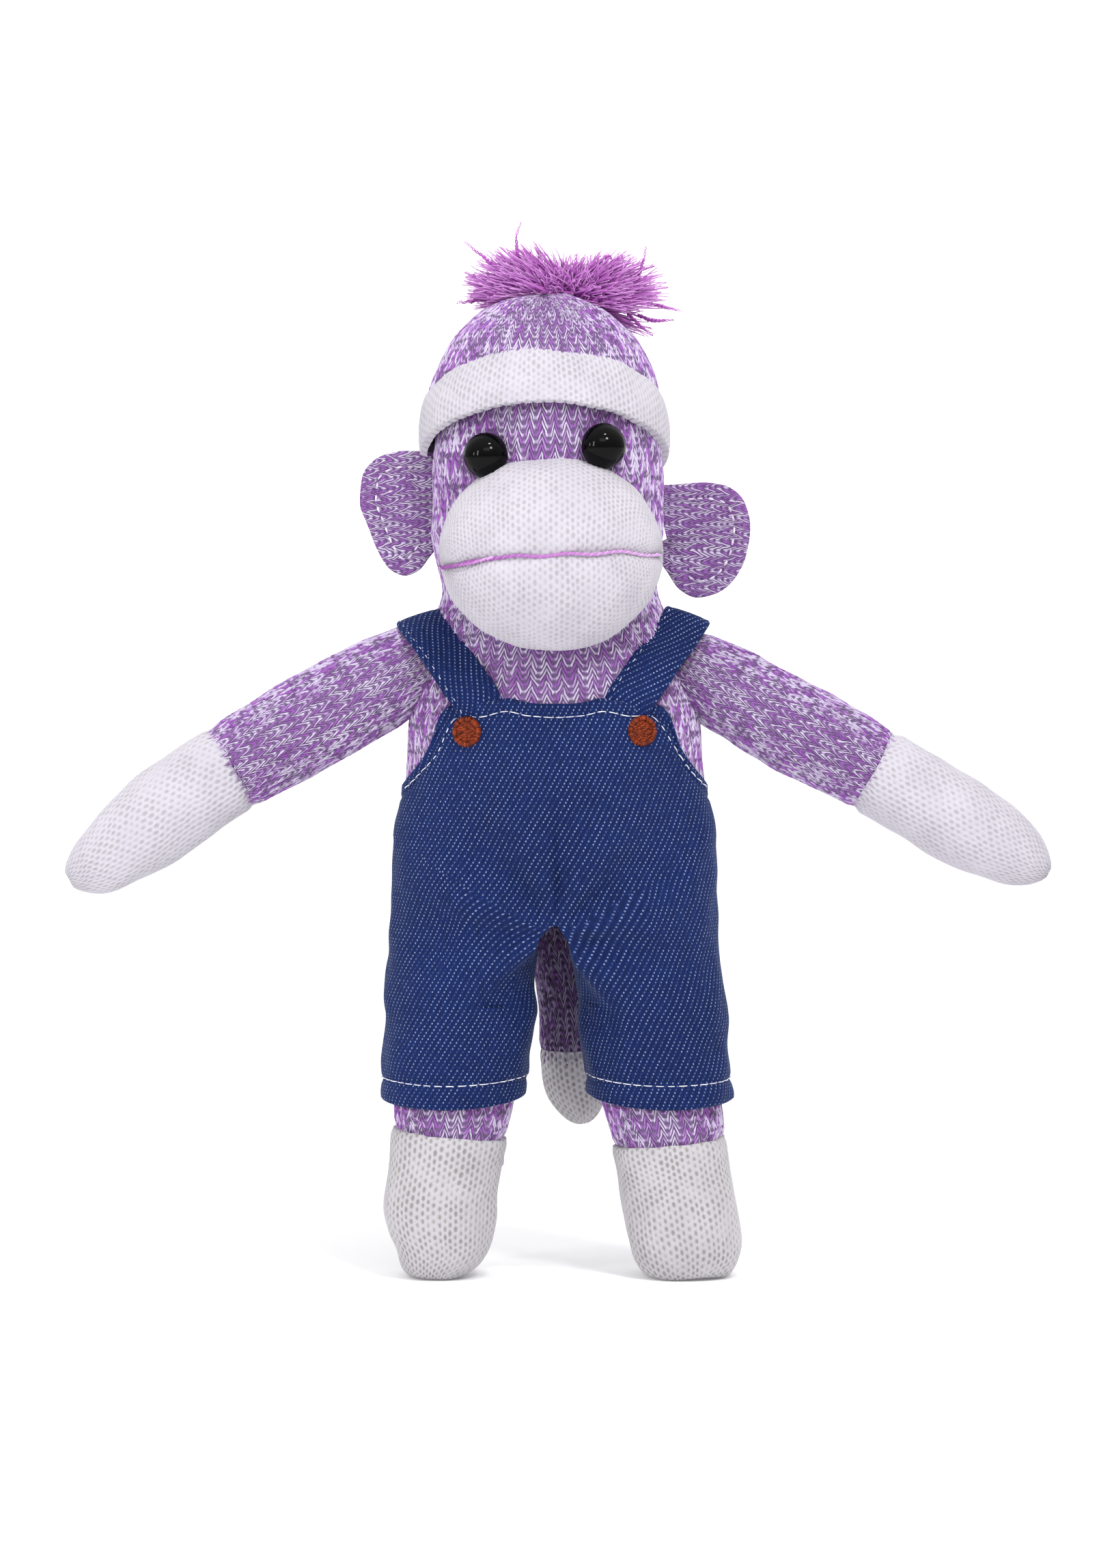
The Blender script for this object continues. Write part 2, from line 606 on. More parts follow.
def studio():
    scene = bpy.context.scene
    world = bpy.data.worlds.new("studio")
    world.use_nodes = True
    sky = world.node_tree.nodes["Background"]
    sky.inputs[0].default_value = (1.0, 1.0, 1.0, 1.0)
    direction = world.node_tree.nodes.new("ShaderNodeTexCoord")
    split = world.node_tree.nodes.new("ShaderNodeSeparateXYZ")
    height = world.node_tree.nodes.new("ShaderNodeMapRange")
    height.inputs[1].default_value = -0.1
    height.inputs[2].default_value = 0.8
    height.inputs[3].default_value = 0.38
    height.inputs[4].default_value = 1.0
    world.node_tree.links.new(direction.outputs["Generated"], split.inputs[0])
    world.node_tree.links.new(split.outputs[2], height.inputs[0])
    world.node_tree.links.new(height.outputs[0], sky.inputs[1])
    scene.world = world
    scene.view_settings.view_transform = "Standard"

    floor_mesh = bpy.data.meshes.new("studio_floor")
    profile = [(FLOOR_FRONT, 0.0), (FLOOR_BACK, 0.0)]
    profile += [(FLOOR_BACK + CURVE * math.sin(a), CURVE - CURVE * math.cos(a))
                for a in np.linspace(0.1, math.pi / 2, 14)]
    profile += [(FLOOR_BACK + CURVE, WALL_TOP)]
    verts = [(x, y, z) for y, z in profile for x in (-FLOOR_HALF, FLOOR_HALF)]
    faces = [(2 * k, 2 * k + 1, 2 * k + 3, 2 * k + 2) for k in range(len(profile) - 1)]
    floor_mesh.from_pydata(verts, [], faces)
    floor_mesh.shade_smooth()
    floor_mesh.materials.append(paper("studio_paper", 60.0, 0.1))
    floor_mesh.materials.append(paper("studio_backdrop", 30.0, 0.6))
    for face in floor_mesh.polygons[1:]:
        face.material_index = 1
    floor = bpy.data.objects.new("studio_floor", floor_mesh)
    scene.collection.objects.link(floor)

    def area(name, place, target, width, height, power, tint=(1.0, 1.0, 1.0)):
        data = bpy.data.lights.new(name, "AREA")
        data.shape = "RECTANGLE"
        data.size, data.size_y = width, height
        data.energy = power
        data.color = tint
        light = bpy.data.objects.new(name, data)
        light.location = place
        light.rotation_euler = (Vector(target) - Vector(place)).to_track_quat("-Z", "Y").to_euler()
        scene.collection.objects.link(light)

    area("key_light", (0.42, -0.9, 0.95), (0, 0, 0.12), 0.2, 0.2, 5.2)
    area("fill_light", (-0.8, -0.8, 0.42), (0, 0, 0.13), 0.14, 0.42, 2.4)
    area("front_light", (0.0, -1.5, 1.1), (0, 0, 0.12), 0.9, 0.5, 2.8)
    area("glint_light", (0.16, -0.42, 0.95), (0, 0, 0.19), 0.12, 0.05, 1.8)
    area("side_glint_light", (-0.75, -0.35, 0.3), (0, 0, 0.19), 0.06, 0.16, 0.5)

    data = bpy.data.cameras.new("photo_camera")
    data.sensor_fit = "VERTICAL"
    data.sensor_height = 36.0
    data.sensor_width = 36.0
    data.lens = 142.6
    data.clip_start = 0.05
    data.clip_end = 20.0
    camera = bpy.data.objects.new("photo_camera", data)
    aim = Vector((-0.0013, 0.0, 0.119))
    lift = math.radians(2.5)
    camera.location = aim + Vector((0.0, -math.cos(lift), math.sin(lift))) * 1.5
    camera.rotation_euler = (aim - camera.location).to_track_quat("-Z", "Y").to_euler()
    scene.collection.objects.link(camera)
    scene.camera = camera


studio()

# ---------------------------------------------------------------- body and head
BODY = [
    (96.0, 0.0, 35.6, 19.6), (100.0, 0.0, 36.2, 20.2), (109.0, 0.0, 36.6, 21.2), (118.0, 0.0, 36.3, 22.0),
    (127.0, 0.0, 36.0, 22.3), (135.0, 0.0, 35.2, 21.4), (142.0, 0.0, 33.8, 19.6),
    (149.0, -0.2, 32.2, 17.6),
    (155.0, -0.6, 30.0, 16.8), (160.0, -1.0, 27.9, 17.6), (166.0, -1.4, 26.0, 21.5),
    (172.0, -1.6, 27.0, 25.0),
    (181.0, -1.6, 28.2, 26.4), (191.0, -1.6, 28.2, 26.3), (200.0, -1.6, 27.6, 25.7),
    (209.0, -1.6, 26.2, 24.4),
    (217.0, -1.6, 23.6, 22.0), (224.0, -1.6, 19.4, 18.0),
]
BODY_X, BODY_RX, BODY_RY = through(BODY)
NECK_Z = 160.0
BODY_WALES = 56


def course_map(radius, low, high, spacing):
    """Heights for courses counted up from low, spaced along the outside."""
    z = np.linspace(low, high, 800)
    r = radius(z)
    courses = np.hypot(np.diff(z), np.diff(r)) / spacing((z[1:] + z[:-1]) / 2)
    length = np.concatenate([[0], np.cumsum(courses)])
    slope_low = (z[1] - z[0]) / (length[1] - length[0])
    slope_high = (z[-1] - z[-2]) / (length[-1] - length[-2])

    def height(v):
        inside = np.interp(v, length, z)
        return inside + np.minimum(v, 0) * slope_low + np.maximum(v - length[-1], 0) * slope_high

    return height, length[-1], lambda level: float(np.interp(level, z, length))


body_height, body_courses, body_course_of = course_map(
    BODY_RX, 98.0, 218.0, lambda z: 1.62 + 0.28 * ease(150.0, 176.0, z))


def body_surface(u, v):
    z = body_height(v)
    angle = 2 * math.pi * u / BODY_WALES - math.pi / 2
    return stack(BODY_X(z) + BODY_RX(z) * np.cos(angle), BODY_RY(z) * np.sin(angle), z)


def eye_dents(points, out):
    """The knitting sinks a little round each eye."""
    for side, sign in SIDES:
        low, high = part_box(side + "_eye")
        centre = np.array([(low[0] + high[0]) / 2, low[1] + 0.003, (low[2] + high[2]) / 2]) / MM
        away = np.linalg.norm(points - centre, axis=-1)
        points = points - out * (1.5 * np.exp(-(away / 6.5) ** 2))[..., None]
    return points


neck_course = round(body_course_of(NECK_Z))
torso_knit = knit("torso_knit", body_surface, BODY_WALES, neck_course, STOCKING, PURPLE_KNIT, 0.55)
head_knit = knit("head_knit", body_surface, BODY_WALES, int(body_courses) - neck_course, STOCKING,
                 PURPLE_KNIT, 0.6, start=float(neck_course), dent=eye_dents)
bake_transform(torso_knit)
dress(torso_knit, "purple_knit", "torso_skin", "torso_stuffing", "neck_stuffing")
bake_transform(head_knit)
dress(head_knit, "purple_knit", "head_skin", "head_stuffing")

# ---------------------------------------------------------------- muzzle and mouth
MUZZLE = np.array([-0.9, -20.5, 174.8])
MUZZLE_SIZE = np.array([26.9, 20.9, 23.5])
MOUTH_Z = 174.0
MOUTH_SLOPE = math.tan(math.radians(2.5))
MUZZLE_COLS = 64
MUZZLE_ROWS = 73


def muzzle_point(alpha, beta):
    """alpha runs from one cheek to the other and beta from under the chin, round the front, to the brow."""
    full = np.cos(alpha)
    x = MUZZLE[0] + MUZZLE_SIZE[0] * np.sin(alpha)
    y = MUZZLE[1] - MUZZLE_SIZE[1] * full * np.cos(beta)
    z = MUZZLE[2] + MUZZLE_SIZE[2] * full * np.sin(beta)
    return stack(x, y, z)


def mouth_height(x):
    """The mouth rises a little to one side and drops at both ends."""
    return MOUTH_Z + 0.5 + x * MOUTH_SLOPE - 2.0 * ease(-14.0, -27.5, x) - 1.2 * ease(16.0, 26.5, x)


def muzzle_surface(u, v):
    alpha = (u / MUZZLE_COLS - 0.5) * math.pi * 0.995
    beta = math.radians(-118) + v / MUZZLE_ROWS * 2 * math.pi
    points = muzzle_point(np.clip(alpha, -1.57, 1.57), beta)
    points[..., 1] = np.minimum(points[..., 1], -10.5 + 12.0 * ease(158.0, 168.0, points[..., 2]))
    return points


def muzzle_dents(points, out):
    """A soft crease along the mouth, and fuller cheeks under it."""
    away = np.abs(points[..., 2] - mouth_height(points[..., 0]))
    front = ease(-18.0, -26.0, points[..., 1])
    crease = 1.25 * np.exp(-(away / 1.7) ** 2) + 0.5 * np.exp(-(away / 5.0) ** 2)
    return points - out * (crease * front)[..., None]


muzzle = knit("muzzle_knit", muzzle_surface, MUZZLE_COLS, MUZZLE_ROWS, FINE, WHITE_KNIT, 0.2, closed=False,
              dent=muzzle_dents, per_wale=4, per_course=5)
settle(muzzle, "head", "white_knit", "muzzle_cover", "muzzle_stuffing")


def mouth_path(start, end, count, lift=0.0, seed=0):
    x = np.linspace(start, end, count)
    alpha = np.arcsin(np.clip((x - MUZZLE[0]) / MUZZLE_SIZE[0], -0.999, 0.999))
    level = mouth_height(x) + 0.25 * np.sin(x * 0.5 + seed)
    sine = np.clip((level - MUZZLE[2]) / (MUZZLE_SIZE[2] * np.cos(alpha)), -1, 1)
    path = muzzle_point(alpha, np.arcsin(sine))
    out = unit((path - MUZZLE) / MUZZLE_SIZE ** 2)
    crease = 1.75 * ease(-18.0, -26.0, path[:, 1])
    return path + out * (lift + 0.25 - crease)[:, None]


def plied(path, radius, turns, plies=2):
    """Strands twisted round a path."""
    side, over = tube_frames(path)
    steps = np.linspace(0, 2 * math.pi * turns, len(path))
    rows = []
    for k in range(plies):
        angle = steps + 2 * math.pi * k / plies
        ring = np.cos(angle)[:, None] * side + np.sin(angle)[:, None] * over
        rows.append((path + ring * radius * 0.55, radius * 0.72, 0.2 + 0.37 * k))
    return rows


mouth_strands = plied(mouth_path(-27.6, 25.9, 280), 0.36, 30)
mouth_strands += plied(mouth_path(-27.4, -15.2, 70, 0.2, 2), 0.32, 7)
mouth = bundle_object("mouth_yarn", mouth_strands, MOUTH_YARN, sides=8, tip=0.9)
settle(mouth, "head", "mouth_yarn", "mouth_thread")


# ---------------------------------------------------------------- eyes
def lathe(name, profile, material, origin, line, columns=64):
    """A turned piece: profile is (radius, distance along the line) pairs in mm."""
    line = np.array(line, float)
    up = np.array([0.0, 0.0, 1.0])
    side = unit(np.cross(up, line))
    over = np.cross(line, side)
    angle = np.linspace(0, 2 * math.pi, columns + 1)
    radius = np.array([r for r, d in profile])[:, None]
    depth = np.array([d for r, d in profile])[:, None]
    points = np.array(origin) + radius[..., None] * (
        np.cos(angle)[None, :, None] * side + np.sin(angle)[None, :, None] * over) + depth[..., None] * line
    uv = np.stack(np.broadcast_arrays(angle[None, :] / 6.2832, depth), -1)
    return grid_object(name, points[:, :-1], uv, material, True, (True, True))


EYE_R = 5.5
EYE_RISE = 4.7


def eyes():
    for side, sign in SIDES:
        centre = {"left": (-16.5, -23.4, 198.0), "right": (11.6, -24.5, 200.2)}[side]
        turn = math.radians(20.0 * sign)
        line = (math.sin(turn), -math.cos(turn), 0.0)
        cap = (EYE_R ** 2 + EYE_RISE ** 2) / (2 * EYE_RISE)
        profile = [(1.9, -9.0), (1.9, -0.9), (5.1, -0.8), (EYE_R, -0.55), (5.55, -0.2)]
        for a in np.linspace(math.asin(5.4 / cap), 0.03, 26):
            profile.append((cap * math.sin(a), EYE_RISE - cap + cap * math.cos(a)))
        eye = lathe(side + "_eye_dome", profile, EYE_GLOSS, centre, line)
        settle(eye, "head", "eye_plastic", side + "_eye")
        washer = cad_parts[side + "_eye_washer"]
        for slot in washer.material_slots:
            slot.material = WASHER_PLASTIC


eyes()

# ---------------------------------------------------------------- hat
HAT_X = -2.6
BAND_LOW_LEAN = math.tan(math.radians(24.0))
BAND_HIGH_LEAN = math.tan(math.radians(22.5))
CROWN = [
    (186.0, 28.6, 27.2), (198.0, 28.7, 27.3), (206.0, 28.7, 27.2), (213.0, 28.0, 26.3),
    (220.0, 25.9, 24.2),
    (226.5, 22.3, 20.8), (232.0, 16.8, 15.6), (236.0, 9.6, 9.0), (237.6, 3.2, 3.0),
]
BAND = [
    (178.0, 29.2, 27.9), (190.0, 29.9, 28.3), (200.0, 30.0, 28.4), (209.0, 29.3, 27.7),
    (217.0, 27.3, 25.3),
    (226.0, 23.2, 21.4), (232.0, 18.4, 17.0),
]
CROWN_RX, CROWN_RY = through(CROWN)
BAND_RX, BAND_RY = through(BAND)
CROWN_WALES = 58
BAND_WALES = 140
BAND_COURSES = 8
BAND_LOW = 197.8
BAND_HIGH = 212.3

HAT_REACH = 27.5     # how far the band's tilt reaches to the front and the back

crown_height, crown_courses, _ = course_map(
    CROWN_RX, 190.0, 237.4, lambda z: 1.8 - 0.35 * ease(218.0, 234.0, z))


def crown_surface(u, v):
    angle = 2 * math.pi * u / CROWN_WALES - math.pi / 2
    z = crown_height(v)
    hidden = BAND_LOW + 6.0 - np.sin(angle) * HAT_REACH * BAND_LOW_LEAN
    z = np.where(z < hidden + 3.0, hidden + 3.0 * np.exp(np.minimum((z - hidden - 3.0) / 3.0, 0.0)), z)
    return stack(HAT_X + CROWN_RX(z) * np.cos(angle), CROWN_RY(z) * np.sin(angle), z)


crown = knit("hat_crown_knit", crown_surface, CROWN_WALES, int(crown_courses), STOCKING, PURPLE_KNIT, 0.5)
settle(crown, "head", "purple_knit", "hat_crown")


def band_surface(u, v):
    """A doubled strip round the head: both edges roll in."""
    angle = 2 * math.pi * u / BAND_WALES - math.pi / 2
    s = v / BAND_COURSES
    reach = np.sin(angle) * HAT_REACH
    low, high = BAND_LOW - reach * BAND_LOW_LEAN, BAND_HIGH - reach * BAND_HIGH_LEAN
    z = low + (high - low) * np.clip(s, 0, 1)
    past = np.clip(np.maximum(0.09 - s, s - 0.93), 0, 0.09)
    roll = 1.9 * (1 - np.sqrt(np.clip(1 - past ** 2 / 0.0081, 0, 1)))
    wave = 0.35 * np.sin(angle * 3 + 0.7) + 0.25 * np.sin(angle * 7)
    z = z + 0.5 * np.sin(angle * 4 + 1.1) * (0.5 - s)
    grow = 0.15 + 0.5 * np.sin(math.pi * np.clip(s, 0, 1)) - roll + wave * 0.3
    return stack(HAT_X + (BAND_RX(z) + grow) * np.cos(angle), (BAND_RY(z) + grow) * np.sin(angle), z)


band = knit("hat_band_knit", band_surface, BAND_WALES, BAND_COURSES, FINE, WHITE_KNIT, 0.3,
            caps=(False, False))
settle(band, "head", "white_knit", "hat_band")


# ---------------------------------------------------------------- pom-pom
def pompom_strands():
    rng = np.random.default_rng(21)
    rows = []
    lobes = [((-6.6, 5.0, 239.4), (14.6, 11.5, 9.6), (1.0, 4.0, 236.0), 1900, -1),
             ((5.0, 5.5, 238.5), (7.5, 8.5, 8.2), (3.6, 4.5, 236.0), 600, 0),
             ((14.2, 4.6, 236.2), (12.6, 11.0, 11.0), (6.5, 4.0, 235.6), 1700, 1)]
    for centre, size, root, count, sign in lobes:
        centre, size, root = np.array(centre), np.array(size), np.array(root)
        tufts = unit(rng.normal(size=(90, 3)))
        for k in range(count):
            way = unit(tufts[rng.integers(len(tufts))] + rng.normal(size=3) * 0.16)
            if way[0] * sign < -0.55:
                way[0] *= -0.4
            if way[2] < -0.35 and way[0] * sign < 0.5:
                way[2] *= -0.5
            tip = centre + way * size * rng.uniform(0.62, 1.1)
            start = root + rng.normal(size=3) * np.array([2.6, 2.4, 0.8])
            middle = (start * 0.5 + tip * 0.5) + way * size * 0.12 + rng.normal(size=3) * 0.7
            steps = np.linspace(0, 1, 7)[:, None]
            path = (1 - steps) ** 2 * start + 2 * steps * (1 - steps) * middle + steps ** 2 * tip
            path = path + 0.22 * np.sin(steps * rng.uniform(6, 11) + rng.uniform(0, 6, 3)) * steps
            rows.append((path, rng.uniform(0.2, 0.34), rng.uniform()))
    return rows


def stray_ends():
    """Longer yarn ends that stand out of the tufts."""
    rng = np.random.default_rng(5)
    ends = [
        [(-6.5, 1, 238), (-8.0, 0, 244), (-9.3, -1, 249), (-8.9, -1, 252.5), (-8.0, -1, 254.3)],
        [(-10.5, 1, 239), (-14.0, 0, 243.2), (-17.6, -1, 246.2), (-21.8, -1, 249.6)],
        [(20.0, 2, 236), (20.2, 1, 241), (21.4, 1, 245.5), (22.0, 1, 248.6)],
        [(1.0, 2, 237), (0.2, 1, 242), (-0.6, 1, 246.6)],
        [(5.0, 2, 237), (8.6, 1, 242.6), (13.0, 1, 246.2), (13.8, 1, 244.0), (12.0, 1, 238)],
        [(22.0, 2, 235), (27.0, 1, 233.8), (30.5, 1, 233.0)],
        [(20.0, 2, 232), (24.0, 1, 230.6), (28.8, 1, 230.9)],
        [(-16.0, 2, 236), (-21.0, 1, 235.2), (-23.6, 1, 235.0)],
        [(-14.0, 1, 240), (-19.0, 0, 241.2), (-21.8, 0, 242.2)],
        [(3.0, 2, 238), (4.3, 1, 242), (5.2, 1, 246.8)],
        [(-3.0, 2, 238), (-3.6, 1, 243), (-4.8, 1, 246.2)],
        [(17.0, 2, 233), (20.5, 1, 229.5), (23.8, 1, 227.0)],
    ]
    rows = []
    for points in ends:
        path = resample(points, 40)
        path = path + 0.16 * np.sin(np.linspace(0, 26, 40))[:, None] * rng.normal(size=3)
        rows += [(p, r * 0.8, rng.uniform(0.5, 1)) for p, r, value in plied(path, 0.46, 7)]
    return rows


pompom = bundle_object("pompom_yarn", pompom_strands() + stray_ends(), POMPOM_YARN, sides=4, tip=0.35)
settle(pompom, "head", "pompom_yarn", "pompom")
ANGLES = np.linspace(0, 2 * math.pi, 40)
tie_path = stack(4.6 + 1.8 * np.cos(ANGLES), 3.0 + 1.8 * np.sin(ANGLES), 238.2 + 0 * ANGLES)
tie_rows = [row for lift in (0.0, 0.9, 1.7) for row in plied(tie_path + np.array([0, 0, lift]), 0.5, 9)]
pompom_tie = bundle_object("pompom_tie_yarn", tie_rows, POMPOM_YARN, sides=6, tip=0.9)
settle(pompom_tie, "head", "pompom_yarn", "pompom_tie")

# ---------------------------------------------------------------- ears
EARS = {
    "left": [(-24.5, 197.2), (-31.0, 199.3), (-36.4, 199.4), (-42.2, 198.0), (-46.4, 193.2), (-47.0, 187.0),
             (-45.0, 181.0), (-42.6, 175.0), (-39.6, 170.6), (-36.2, 169.2), (-33.0, 170.4),
             (-30.0, 174.0),
             (-25.0, 180.0)],
    "right": [(24.0, 191.0), (30.0, 191.4), (35.8, 191.8), (41.2, 191.0), (45.6, 187.2), (47.1, 181.0),
              (46.0, 173.8), (42.6, 167.6), (38.6, 164.8), (34.4, 163.9), (30.2, 165.8), (27.0, 170.2),
              (23.0, 176.0)],
}
EAR_Y = 2.0
EAR_SEAM = 3.9       # how far the stitching stands in from the rim


def ear_sweep(x):
    """How far forward the ear bends, at a distance from the toy's middle."""
    far = np.abs(x)
    flare = 0.035 * (far - 32.0).clip(0) ** 1.7
    return flare - 0.66 * np.sin(math.pi * np.clip((far - 31) / 16, 0, 1))


def ear(side, sign):
    rim = resample([(x, 0, z) for x, z in EARS[side]], 200)
    middle = np.array([sign * 27.0, 0.0, float(rim[:, 2].mean())])
    wales = 24
    courses = 22

    def surface(u, v):
        """Rings from the middle of the front out to the rim and back in behind."""
        place = np.clip(u / wales, 0, 1) * (len(rim) - 1)
        edge = np.stack([np.interp(place, np.arange(len(rim)), rim[:, k]) for k in range(3)], -1)
        s = np.clip(v / courses, 0, 1) * 2 - 1
        out = 1 - np.abs(s) ** 1.6
        thick = 1.9 * np.sign(s) * np.abs(s) ** 0.5 * (0.8 + 0.35 * out * (1 - out))
        flat = middle + (edge - middle) * (1 - np.abs(s) ** 2.0)[..., None]
        return stack(flat[..., 0], EAR_Y + thick - ear_sweep(flat[..., 0]), flat[..., 2])

    cols = int(wales * 6)
    rows = int(courses * 6)
    u, v = np.meshgrid(np.arange(cols + 1) / 6.0, np.arange(rows + 1) / 6.0)
    base = surface(u, v)
    out = np.zeros_like(base)
    out[..., 1] = np.sign(v / courses * 2 - 1)
    # Knit coordinates follow the ear's own plane: wales run outward from the head.
    outward = np.abs(base[..., 0])
    wale = (base[..., 2] - 160.0) / 2.2 + 0.02 * (outward - 30.0) + 0.18 * wobble(base, 9.0, 6)
    course = (outward - 20.0) / 1.6 + 0.15 * wobble(base, 8.0, 7)
    height = stocking_height(wale, course + stocking_lean(wale))
    flatness = np.clip(1.15 * np.abs(np.abs(v / courses * 2 - 1)) ** 0.8, 0, 1)
    seam = stitch_groove(rim, base)
    points = base + out * (0.42 * flatness * (height - 1) - 0.6 * seam * flatness)[..., None]
    uv = np.stack([wale, course], -1)
    if sign < 0:
        points, uv = points[::-1], uv[::-1]
    piece = grid_object(side + "_ear_knit", points, uv, EAR_KNIT, False)
    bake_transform(piece)
    dress(piece, "purple_knit", side + "_ear")

    line = inset_line(rim, EAR_SEAM)
    line = line[np.abs(line[:, 0]) > 31.5]
    rows = []
    for face in (-1, 1):
        path = line.copy()
        path[:, 1] = EAR_Y + face * 1.5 - ear_sweep(line[:, 0])
        normals = np.zeros_like(path)
        normals[:, 1] = face
        rows += stitches(path, normals, 1.3, 1.3, 0.24, 0.2, 40 + face)
    seam_piece = bundle_object(side + "_ear_seam", rows, STITCH_SHADE, sides=6, tip=0.9)
    settle(seam_piece, side + "_ear", "white_thread", side + "_ear_stitching")


def inset_line(rim, inset):
    """The rim's line moved inward by a distance."""
    forward = unit(np.gradient(rim, axis=0))
    inward = np.stack([forward[:, 2], 0 * forward[:, 0], -forward[:, 0]], -1)
    middle = rim.mean(0)
    flip = np.sign(((middle - rim) * inward).sum(-1)).mean()
    return rim + inward * inset * np.sign(flip)


def stitch_groove(rim, points):
    """How deep the stitching pulls the ear in, 0 to 1."""
    line = inset_line(rim, EAR_SEAM)[::4]
    flat = points.reshape(-1, 3)
    away = np.full(len(flat), 99.0)
    for spot in line:
        away = np.minimum(away, np.hypot(flat[:, 0] - spot[0], flat[:, 2] - spot[2]))
    return np.exp(-(away / 0.9) ** 2).reshape(points.shape[:-1])


for side, sign in SIDES:
    ear(side, sign)

# ---------------------------------------------------------------- arms
ARMS = {
    "left": dict(shoulder=(-34.5, 0.0, 147.8), droop=29.6, cuff=49.8, tip=96.1,
                 radii=[(-20, 10.2), (0, 10.3), (8, 11.3), (16, 12.0), (25, 12.0), (40, 11.5),
                        (49.8, 11.1)],
                 hand=[(49.8, 10.7, 0.0), (52.0, 11.2, -0.1), (62, 11.4, -1.0), (70, 11.3, -2.0),
                       (78, 10.5, -3.2),
                       (85, 8.9, -4.4), (89, 7.4, -4.8), (92.5, 5.2, -5.0), (94.9, 2.9, -5.0),
                       (96.0, 0.6, -5.0)]),
    "right": dict(shoulder=(34.5, 0.0, 145.8), droop=29.0, cuff=48.8, tip=97.6,
                  radii=[(-20, 10.0), (0, 10.0), (8, 10.9), (16, 11.4), (25, 11.4), (40, 11.0),
                         (48.8, 10.5)],
                  hand=[(48.8, 10.3, 0.0), (51.0, 10.9, 0.0), (62, 11.0, -0.2), (72, 10.9, -0.5),
                        (80, 10.0, -0.9),
                        (86, 8.9, -1.0), (90, 7.6, -1.1), (94, 5.4, -1.2), (96.4, 2.9, -1.2),
                        (97.6, 0.6, -1.2)]),
}
ARM_WALES = 30
HAND_WALES = 52
ARM_COURSE = 1.72
FINE_COURSE = 1.9    # on the hands and feet


def arm(side, sign):
    spec = ARMS[side]
    droop = math.radians(spec["droop"])
    line = np.array([sign * math.cos(droop), 0.0, -math.sin(droop)])
    front = np.array([0.0, -1.0, 0.0])
    other = np.cross(line, front)
    shoulder = np.array(spec["shoulder"])
    radius, = through(spec["radii"])
    hand_radius, hand_shift = through(spec["hand"])
    cuff = spec["cuff"]
    root = spec["radii"][0][1]

    def ring(u, wales, s, r, shift=0.0, flat=1.0):
        angle = 2 * math.pi * u / wales
        up = np.array([0.0, 0.0, 1.0])
        across = np.cos(angle) * r * 0.95 * flat
        over = np.sin(angle) * r
        return (shoulder + s[..., None] * line + across[..., None] * front + over[..., None] * other
                + np.asarray(shift)[..., None] * up)

    def sleeve(u, v):
        s = -root * 0.97 + v * ARM_COURSE
        round_in = np.sqrt(np.clip(1 - (np.minimum(s, 0) / root) ** 2, 0.03, 1))
        pinch = 1 - 0.05 * hill(s, cuff, 1.3)
        crease = 1 - 0.02 * hill(s, 14, 3.0)
        return ring(u, ARM_WALES, s, radius(s) * round_in * pinch * crease)

    def palm(u, v):
        s = np.minimum(cuff - 0.6 + v * FINE_COURSE, spec["tip"] - 0.2)
        flat = 1 - 0.16 * ease(cuff + 8, spec["tip"], s)
        pinch = 1 - 0.03 * hill(s, cuff, 1.0)
        return ring(u, HAND_WALES, s, hand_radius(s) * pinch, hand_shift(s), flat)

    courses = int((cuff + root) / ARM_COURSE) + 1
    sleeve_piece = knit(side + "_arm_knit", sleeve, ARM_WALES, courses, STOCKING, ARM_KNIT, 0.5)
    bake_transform(sleeve_piece)
    dress(sleeve_piece, "purple_knit", side + "_upper_sleeve", side + "_upper_arm_stuffing",
          side + "_forearm_sleeve", side + "_forearm_stuffing")
    hand = knit(side + "_hand_knit", palm, HAND_WALES, (spec["tip"] - cuff) / FINE_COURSE, FINE,
                WHITE_KNIT, 0.3)
    settle(hand, side + "_forearm", "white_knit", side + "_hand_cover")


for side, sign in SIDES:
    arm(side, sign)

# ---------------------------------------------------------------- legs and feet
LEGS = {
    "left": dict(x=[(20, -26.0), (34, -25.2), (43, -24.5), (60, -23.2), (75, -21.9), (88, -21.4),
                    (106, -21.4)],
                 foot=[(0.0, -28.6, -2.6, 5.2, 8.4), (0.25, -28.6, -2.6, 6.6, 9.8),
                       (1.2, -28.4, -2.6, 8.0, 11.4),
                       (3.2, -27.7, -2.6, 9.9, 13.0), (6.6, -27.1, -2.5, 11.6, 14.3),
                       (11.0, -27.5, -2.1, 13.1, 15.0),
                       (16.5, -27.7, -1.6, 13.9, 15.2), (26.4, -26.5, -0.5, 13.8, 14.9),
                       (34.6, -25.3, 0.0, 14.4, 14.4)]),
    "right": dict(x=[(20, 28.6), (34, 27.5), (43, 25.6), (60, 23.8), (75, 22.2), (88, 21.6), (106, 21.6)],
                  foot=[(0.0, 31.9, -2.6, 7.6, 9.2), (0.25, 31.9, -2.6, 9.4, 10.8),
                        (1.2, 31.9, -2.6, 11.0, 12.4),
                        (3.2, 31.9, -2.6, 12.4, 13.6), (6.6, 31.8, -2.5, 13.6, 14.6),
                        (11.0, 31.1, -2.1, 14.1, 15.1),
                        (16.5, 30.3, -1.6, 14.2, 15.2), (26.4, 28.7, -0.5, 13.7, 14.9),
                        (34.6, 27.5, 0.0, 14.1, 14.4)]),
}
LEG_WALES = 28
FOOT_WALES = 64
FOOT_TOP = 34.6
LEG_LOW = 28.0       # the leg's lowest course, inside the foot's cover
LEG_COURSE = 1.75
LEG_COURSES = 22


